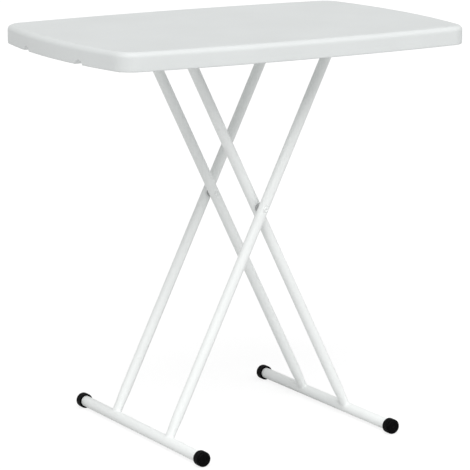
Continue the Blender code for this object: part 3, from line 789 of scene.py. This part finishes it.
def rivet_profile(rise, head_radius, inner, outer):
    """Both heads and the shank: a head is a half-elliptic ring round a shallow dish."""
    turn = np.linspace(math.pi, 0.0, 15)
    middle, half = head_radius * 0.70, head_radius * 0.30
    foot = np.where(turn < QUARTER, 0.0, 0.45)
    height = rise * (foot + (1 - foot) * np.sin(turn))
    dish = [(head_radius * 0.12, rise * 0.40), (head_radius * 0.30, rise * 0.42)]
    ring = paired(middle + half * np.cos(turn), height)
    head = np.concatenate([dish, ring, [(head_radius, -0.0002)]])
    upper = head + (0, outer)
    lower = (head * (1, -1))[::-1] + (0, inner)
    shank = [(RIVET_SHANK, outer - 0.0004), (RIVET_SHANK, inner + 0.0004)]
    return np.concatenate([upper, shank, lower])


def saddle_path(bar, bend=0.0022):
    """Middle line of a saddle strap in (x, z): flange, wall, half round, wall, flange."""
    low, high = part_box("pivot_saddle_back")
    thick = SHEET
    radius = bar[2] - low.z - thick / 2
    flange = high.z - thick / 2
    reach = (high.x - low.x) / 2
    bottom = round_points((0.0, bar[2]), radius, math.pi, 2 * math.pi, 28)
    left = round_points((-radius - bend, flange - bend), bend, QUARTER, 0.0, 6)
    right = (left * (-1, 1))[::-1]
    path = np.concatenate([[(-reach, flange)], left, bottom, right, [(reach, flange)]])
    return path + (bar[0], 0.0)


def strap_surface(path, thick, low_y, high_y):
    """A strap: a path's two offset lines, half its thickness to each side, carried along Y."""
    step = np.gradient(path, axis=0)
    normal = paired(-step[:, 1], step[:, 0]) / np.linalg.norm(step, axis=1)[:, None]
    loop = np.concatenate([path + normal * thick / 2, (path - normal * thick / 2)[::-1]])
    grid = paired(loop[:, 0], np.array((low_y, high_y))[:, None], loop[:, 1])
    count = len(loop)
    half = count // 2
    near = np.arange(half)
    strips = paired(near[:-1], near[1:], count - 1 - near[1:], count - 1 - near[:-1])
    faces = [grid_faces(2, count, close_columns=True), strips, strips + count]
    return grid.reshape(-1, 3), faces


def seat_places(low_x, count):
    """X of the sliding bar in each seat, from the seat shown to the lowest.

    The bar lies two arms times the cosine of the leg angle from the pivot, and the angle's sine
    falls in equal steps from seat to seat.
    """
    pivot = centre_of("outer_top_bar")
    arm = np.linalg.norm((pivot - CROSSING) * (1, 0, 1))
    ends = np.array((centre_of("inner_top_bar")[0], low_x))
    sines = np.sqrt(1 - ((pivot[0] - ends) / (2 * arm)) ** 2)
    return pivot[0] - 2 * arm * np.sqrt(1 - np.linspace(*sines, count) ** 2)


def slot_end(turns, half, reach, rise, round_low):
    """Slot and plate outlines round one end, as (x, z) from the slot end's middle.

    The slot is a half round. The plate's point on the same ray is where the ray leaves a box of
    that reach and rise, or the arc that rounds the box's lower corner.
    """
    ray = paired(np.cos(turns), np.sin(turns))
    height = np.where(ray[:, 1] > 0, rise[0], rise[1])
    share = np.maximum(np.abs(ray), 1e-9)
    far = np.minimum(reach / share[:, 0], height / share[:, 1])
    middle = np.array((reach - round_low, round_low - rise[1]))
    along = np.abs(ray[:, 0]) * middle[0] + ray[:, 1] * middle[1]
    root = round_low**2 - middle @ middle + along**2
    point = far[:, None] * np.abs(ray) * (1, -1)
    in_corner = (ray[:, 1] < 0) & (point[:, 0] > middle[0]) & (point[:, 1] < middle[1])
    far = np.where(in_corner, along + np.sqrt(np.maximum(root, 0.0)), far)
    return half * ray, far[:, None] * ray


def rack_sheet(rack, side):
    """A rack's middle sheet: a web with the seated slot, bent over into the flange.

    The slot's upper edge is the higher of a straight line and one arc per seat. The web's rows
    run from the slot's outline to the plate's, and the flange's rows round the bend and out.
    """
    low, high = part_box("height_rack_back")
    half = size_of("bar_glide_back")[2] / 2 + SLIDE_GAP
    # Points on the slot's upper and lower edges, and rows from the slot to the plate's edge.
    upper_count, lower_count, web_rows = 260, 61, 5
    bar_z = centre_of("inner_top_bar")[2]
    reach = half + rack.end_edge
    left_x, right_x = low.x + reach, high.x - reach
    flange_z = high.z - SHEET / 2
    rise = (flange_z - rack.bend - bar_z, bar_z - low.z)
    seats = seat_places(left_x, rack.seats)
    upper_x = np.linspace(left_x, right_x, upper_count)
    off = np.clip(np.abs(upper_x[:, None] - seats), 0.0, half)
    seated = (rack.seat_depth + np.sqrt(half**2 - off**2)).max(axis=1)
    upper_z = np.maximum(half, seated)
    corner = math.atan2(rise[0], reach)
    # Steps of turn up to level with the slot, and from there to the plate's upper corner.
    to_side, to_corner = 14, 5
    lower = np.linspace(-QUARTER, 0.0, to_side + 1)[:-1]
    beside = np.linspace(0.0, corner, to_corner + 1)[:-1]
    turns = np.concatenate([lower, beside, np.linspace(corner, QUARTER, 9)])
    slot_right, plate_right = slot_end(turns, half, reach, rise, rack.corner)
    slot_left, plate_left = slot_right[::-1] * (-1, 1), plate_right[::-1] * (-1, 1)
    slot_left[:, 1] += rack.seat_depth * (slot_left[:, 1] > 0)
    lower_x = np.linspace(left_x, right_x, lower_count)[1:-1]
    top_x, top_z = upper_x[-2:0:-1], upper_z[-2:0:-1] + bar_z

    def loop(right, over, left, under):
        right, left = right + (right_x, bar_z), left + (left_x, bar_z)
        return np.concatenate([right, paired(top_x, over), left, paired(lower_x, under)])

    slot = loop(slot_right, top_z, slot_left, bar_z - half)
    plate = loop(plate_right, bar_z + rise[0], plate_left, low.z)
    share = np.linspace(0.0, 1.0, web_rows)[:, None, None]
    web = slot * (1 - share) + plate * share
    web_y = low.y + SHEET / 2
    web = paired(web[..., 0], web_y, web[..., 1])
    first = to_side + to_corner
    last = 2 * len(turns) + len(top_x) - 1 - first
    edge = plate[first : last + 1, 0]
    bend = np.linspace(0.0, QUARTER, 7)
    flat = np.linspace(rack.bend, high.y - web_y, 5)[1:]
    out = np.concatenate([rack.bend * (1 - np.cos(bend)), flat])
    up = np.concatenate([rack.bend * np.sin(bend) - rack.bend, np.zeros(len(flat))])
    flange = paired(edge, (web_y + out)[:, None], (flange_z + up)[:, None])
    web_faces = grid_faces(web_rows, len(slot), close_columns=True)
    flange_faces = grid_faces(len(out), len(edge))
    mirror = (1, side, 1)
    return together([
        (web.reshape(-1, 3) * mirror, [web_faces]),
        (flange.reshape(-1, 3) * mirror, [flange_faces]),
    ])


def screw_surface(settings, node):
    """A pan-head screw from below: a domed head with a cross recess, then a plain shank.

    Rows run from the head's middle outwards and up. The recess is a smooth cross in x and y that
    dies out towards the head's edge.
    """
    low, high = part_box(node)
    place = np.array(((low.x + high.x) / 2, (low.y + high.y) / 2, low.z))
    radius = (high.x - low.x) / 2
    rise, shank, tip, top = 0.0022, 0.0019, 0.0026, high.z - low.z
    arm_half, arm_edge = 0.0003, 0.0006
    angle = np.arange(72) * (2 * math.pi / 72)
    turn = np.linspace(0.0, QUARTER, 26)[1:]
    dome = paired(radius * np.sin(turn), rise * (1 - np.cos(turn) ** 0.8))
    shank_rows = [(radius, rise), (shank, rise), (shank, top - tip), (shank * 0.4, top)]
    profile = np.concatenate([dome, shank_rows])
    x, y = profile[:, :1] * np.cos(angle), profile[:, :1] * np.sin(angle)
    across = np.minimum(np.abs(x), np.abs(y))
    cross = 1 - soft_step(across, arm_half, arm_edge)
    cross = cross * (1 - soft_step(np.hypot(x, y), radius * 0.42, radius * 0.56))
    z = profile[:, 1:] + settings.recess * cross * (np.arange(len(profile)) < len(dome))[:, None]
    return shell(paired(x, y, z) + place)


def finish_of(name, make, *values):
    """The material of that name, made when it is first wanted."""
    return bpy.data.materials.get(name) or make(name, *values)


def paint_of(scene):
    return finish_of("white_powder_paint", frame_paint, scene.table_frame)


def nylon_of(scene):
    return finish_of("natural_nylon", nylon, scene.table_hardware)


def zinc_of(scene):
    return finish_of("zinc_plated_sheet", zinc_plate, scene.table_hardware.zinc, 0.36)


def add_bevel(piece):
    """Takes the sharpness off a sheet's edges."""
    made = piece.modifiers.new("soft_edges", "BEVEL")
    made.width = 0.00025
    made.segments = 2
    made.limit_method = "ANGLE"
    made.angle_limit = SHARP_ANGLE
    made.harden_normals = True


class TABLE_OT_make_top(bpy.types.Operator):
    """Makes the moulded top with its recess, dimples and notches"""

    bl_idname = "table.make_top"
    bl_label = "Moulded Top"

    def execute(self, context):
        top = context.scene.table_top
        ride = ("tabletop", "top_plastic", ["tabletop"])
        add_piece("moulded_top", tabletop_surface(top), top_plastic(top), *ride, merge=True)
        return {"FINISHED"}


class TABLE_OT_make_legs(bpy.types.Operator):
    """Makes the four leg tubes with their welds"""

    bl_idname = "table.make_legs"
    bl_label = "Leg Tubes"

    def execute(self, context):
        settings = context.scene.table_frame
        paint = paint_of(context.scene)
        for kind in ("outer", "inner"):
            foot, bar = centre_of(f"{kind}_foot_tube"), centre_of(f"{kind}_top_bar")
            for end, side in ENDS:
                surface = leg_surface(settings, kind, side, foot, bar)
                ride = (f"{kind}_frame", "frame_paint", [f"{kind}_leg_{end}"])
                add_piece(f"{kind}_leg_tube_{end}", surface, paint, *ride)
        return {"FINISHED"}


class TABLE_OT_make_cross_tubes(bpy.types.Operator):
    """Makes the two top bars and the two foot tubes"""

    bl_idname = "table.make_cross_tubes"
    bl_label = "Top Bars and Foot Tubes"

    def execute(self, context):
        settings = context.scene.table_frame
        paint = paint_of(context.scene)
        for kind in ("outer", "inner"):
            for end, name in (("top_bar", "upper_bar"), ("foot_tube", "foot_rail")):
                node = f"{kind}_{end}"
                size = size_of(node)
                profile = tube_profile(size[2] / 2, settings.wall, size[1] / 2)
                surface = turned(profile, centre_of(node), 96, close_rows=True)
                ride = (f"{kind}_frame", "frame_paint", [node])
                add_piece(f"{kind}_{name}", surface, paint, *ride)
        return {"FINISHED"}


class TABLE_OT_make_caps(bpy.types.Operator):
    """Makes the four ribbed foot caps and the four bar plugs"""

    bl_idname = "table.make_caps"
    bl_label = "Foot Caps and Bar Plugs"

    def execute(self, context):
        caps = context.scene.table_caps
        wall = context.scene.table_frame.wall
        black = finish_of("black_moulded_plastic", black_plastic, caps)
        for kind in ("outer", "inner"):
            for end, side in ENDS:
                node = f"{kind}_foot_cap_{end}"
                place = centre_of(node) - (0, side * CAP_LENGTH / 2, 0)
                surface = cap_surface(caps, place, side)
                ride = (f"{kind}_frame", "black_caps", [node])
                add_piece(f"{kind}_ribbed_cap_{end}", surface, black, *ride)
                node = f"{kind}_bar_plug_{end}"
                place = centre_of(node) - (0, side * PLUG_LENGTH / 2, 0)
                profile = plug_profile(TUBE_RADIUS, PLUG_LENGTH, TUBE_RADIUS - wall - JOINT_GAP)
                surface = turned(profile, place, towards=side)
                ride = (f"{kind}_frame", "black_caps", [node])
                add_piece(f"{kind}_end_plug_{end}", surface, black, *ride)
        return {"FINISHED"}


class TABLE_OT_make_rivets(bpy.types.Operator):
    """Makes the rivets where the legs cross and the spacers between the legs"""

    bl_idname = "table.make_rivets"
    bl_label = "Rivets and Spacers"

    def execute(self, context):
        settings, hardware = context.scene.table_frame, context.scene.table_hardware
        paint = paint_of(context.scene)
        waxy = nylon_of(context.scene)
        seat = TUBE_RADIUS - settings.dent
        inner, outer = LEG_Y["inner"] - seat, LEG_Y["outer"] + seat
        head_radius = size_of("rivet_back")[0] / 2
        for end, side in ENDS:
            profile = rivet_profile(hardware.rivet_rise, head_radius, inner, outer)
            surface = turned(profile, CROSSING, towards=side)
            ride = ("outer_frame", "rivets", [f"rivet_{end}"])
            add_piece(f"painted_rivet_{end}", surface, paint, *ride)
            node = f"rivet_spacer_{end}"
            size = size_of(node)
            bore = RIVET_SHANK + 0.0001
            profile = tube_profile(size[0] / 2, size[0] / 2 - bore, size[1] / 2)
            surface = turned(profile, centre_of(node), close_rows=True)
            add_piece(f"nylon_spacer_{end}", surface, waxy, "outer_frame", "nylon", [node])
        return {"FINISHED"}


class TABLE_OT_make_bearings(bpy.types.Operator):
    """Makes the pivot saddles, their bushes and the sliding bar's sleeves"""

    bl_idname = "table.make_bearings"
    bl_label = "Saddles, Bushes and Sleeves"

    def execute(self, context):
        zinc = zinc_of(context.scene)
        waxy = nylon_of(context.scene)
        bar = centre_of("outer_top_bar")
        for end, _ in ENDS:
            node = f"pivot_saddle_{end}"
            low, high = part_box(node)
            surface = strap_surface(saddle_path(bar), SHEET, low.y, high.y)
            ride = ("tabletop", "zinc_sheet", [node])
            add_bevel(add_piece(f"saddle_strap_{end}", surface, zinc, *ride))
            for kind, name, body in (
                ("pivot_bush", "bar_bush", "tabletop"),
                ("bar_glide", "sliding_sleeve", "inner_frame"),
            ):
                node = f"{kind}_{end}"
                size = size_of(node)
                wall = size[2] / 2 - TUBE_RADIUS - RUNNING_GAP
                profile = tube_profile(size[2] / 2, wall, size[1] / 2)
                surface = turned(profile, centre_of(node), close_rows=True)
                add_piece(f"{name}_{end}", surface, waxy, body, "nylon", [node])
        return {"FINISHED"}


class TABLE_OT_make_racks(bpy.types.Operator):
    """Makes the two slotted height racks of bent sheet steel"""

    bl_idname = "table.make_racks"
    bl_label = "Height Racks"

    def execute(self, context):
        rack = context.scene.table_racks
        zinc = zinc_of(context.scene)
        for end, side in ENDS:
            surface = rack_sheet(rack, side)
            node = f"height_rack_{end}"
            ride = ("tabletop", "zinc_sheet", [node])
            piece = add_piece(f"slotted_rack_{end}", surface, zinc, *ride, merge=True)
            wall = piece.modifiers.new("sheet", "SOLIDIFY")
            wall.thickness = SHEET
            wall.offset = 0.0
            wall.use_even_offset = True
            add_bevel(piece)
        return {"FINISHED"}


class TABLE_OT_make_screws(bpy.types.Operator):
    """Makes the screws that hold the racks and saddles"""

    bl_idname = "table.make_screws"
    bl_label = "Screws"

    def execute(self, context):
        hardware = context.scene.table_hardware
        steel = finish_of("plated_screw_steel", zinc_plate, hardware.screw, 0.30)
        for node in sorted(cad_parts):
            if "_screw_" in node:
                surface = screw_surface(hardware, node)
                ride = ("tabletop", "screws", [node])
                add_piece(node.replace("screw", "pan_screw"), surface, steel, *ride)
        return {"FINISHED"}


class TABLE_OT_make_stage(bpy.types.Operator):
    """Makes the floor, the lights and the camera"""

    bl_idname = "table.make_stage"
    bl_label = "Stage"

    def execute(self, context):
        stage = context.scene.table_stage
        scene = context.scene
        reach, under = 60.0, 0.0002
        corners = np.array([(-1, -1, 0), (1, -1, 0), (1, 1, 0), (-1, 1, 0)])
        mesh = make_mesh("floor", corners * reach - (0, 0, under), [np.arange(4)[None]])
        mesh.materials.append(floor_finish(stage))
        floor = bpy.data.objects.new("floor", mesh)
        scene.collection.objects.link(floor)
        scene.world = soft_world(stage)
        front = (stage.front_turn, stage.front_tilt, stage.front_light)
        right = (stage.right_turn, stage.right_tilt, stage.right_light)
        add_soft_sun("camera_side_light", *front, stage.spread)
        add_soft_sun("right_light", *right, stage.spread)
        camera = bpy.data.objects.new("camera", bpy.data.cameras.new("camera"))
        scene.collection.objects.link(camera)
        camera.data.sensor_width = 36.0
        camera.data.lens = stage.lens
        camera.location = (-2.4318, -4.0639, 1.3634)
        camera.rotation_euler = (QUARTER - stage.tilt, 0.0, -stage.turn)
        scene.camera = camera
        scene.view_settings.view_transform = "Standard"
        return {"FINISHED"}


def add_soft_sun(name, turn, tilt, strength, spread):
    """A wide, distant light from a compass turn round +Z and a height above the floor."""
    light = bpy.data.lights.new(name, "SUN")
    light.energy = strength
    light.angle = spread
    made = bpy.data.objects.new(name, light)
    made.rotation_euler = (0.0, QUARTER - tilt, turn)
    bpy.context.scene.collection.objects.link(made)


class TABLE_PT_looks(bpy.types.Panel):
    """Lists the table's pieces"""

    bl_idname = "TABLE_PT_looks"
    bl_label = "Folding Table"
    bl_space_type = "VIEW_3D"
    bl_region_type = "UI"
    bl_category = "Folding Table"

    def draw(self, context):
        for operator in OPERATORS:
            self.layout.operator(operator.bl_idname)


OPERATORS = (
    TABLE_OT_make_stage, TABLE_OT_make_top, TABLE_OT_make_legs, TABLE_OT_make_cross_tubes,
    TABLE_OT_make_caps, TABLE_OT_make_rivets, TABLE_OT_make_bearings, TABLE_OT_make_racks,
    TABLE_OT_make_screws,
)
SETTINGS = {
    "table_top": TopSettings, "table_frame": FrameSettings, "table_caps": CapSettings,
    "table_racks": RackSettings, "table_hardware": HardwareSettings, "table_stage": StageSettings,
}


def register():
    for name, group in SETTINGS.items():
        bpy.utils.register_class(group)
        setattr(bpy.types.Scene, name, bpy.props.PointerProperty(type=group))
    for made in (*OPERATORS, TABLE_PT_looks):
        bpy.utils.register_class(made)


def unregister():
    for made in (TABLE_PT_looks, *reversed(OPERATORS)):
        bpy.utils.unregister_class(made)
    for name, group in reversed(SETTINGS.items()):
        delattr(bpy.types.Scene, name)
        bpy.utils.unregister_class(group)


def main():
    register()
    for operator in OPERATORS:
        group, name = operator.bl_idname.split(".")
        getattr(getattr(bpy.ops, group), name)()


if __name__ == "__main__":
    main()
